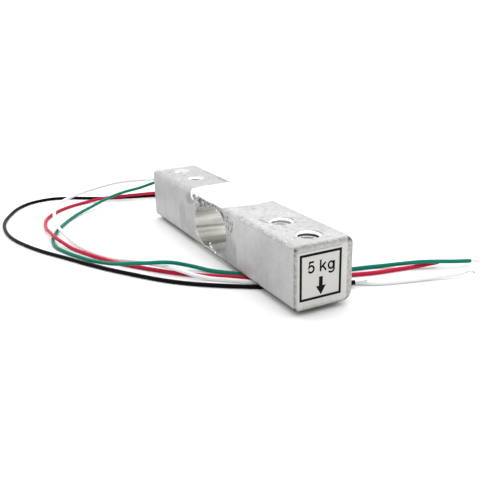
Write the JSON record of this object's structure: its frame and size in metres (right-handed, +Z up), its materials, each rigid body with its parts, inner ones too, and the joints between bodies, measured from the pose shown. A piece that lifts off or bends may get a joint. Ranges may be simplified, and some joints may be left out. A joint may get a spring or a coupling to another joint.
{
  "type": "straight bar load cell",
  "caption": "Straight bending-beam load cell: a square aluminium bar with a figure-eight opening, tapped holes at each end, a silicone gauge seal and free lead wires.",
  "frame": {"origin": "centre of the fixed end's lower mounting face, midway between its two tapped holes", "axes": "+X along the bar to the load end, +Z up out of the upper face, the lead wires leave on the +Y side"},
  "size_m": [0.1138, 0.0895, 0.0147],
  "materials": {
    "aluminium": "sawn and milled, satin, small dents and scratches",
    "silicone_white": "smooth white silicone, semi-gloss",
    "gauge_foil": "amber backing with metal foil",
    "terminal_board": "laminate with solder pads",
    "enamel_wire": "enamelled copper",
    "pvc_green": "satin PVC",
    "pvc_red": "satin PVC",
    "pvc_white": "satin PVC",
    "pvc_black": "satin PVC",
    "tinned_copper": "tinned strands",
    "label_paper": null
  },
  "bodies": {
    "root": {"beam_body": "aluminium", "sealant_top": "silicone_white", "sealant_bottom": "silicone_white", "sealant_bead": "silicone_white", "rating_label": "label_paper", "jumper_wire_a": "enamel_wire", "jumper_wire_b": "enamel_wire", "solder_terminal_top": "terminal_board", "solder_terminal_bottom": "terminal_board", "strain_gauge_top_fixed_side": "gauge_foil", "strain_gauge_top_load_side": "gauge_foil", "strain_gauge_bottom_fixed_side": "gauge_foil", "strain_gauge_bottom_load_side": "gauge_foil", "lead_white": "pvc_white", "bare_end_white": "tinned_copper", "lead_green": "pvc_green", "bare_end_green": "tinned_copper", "lead_red": "pvc_red", "bare_end_red": "tinned_copper", "lead_black": "pvc_black", "bare_end_black": "tinned_copper"}
  },
  "joints": []
}
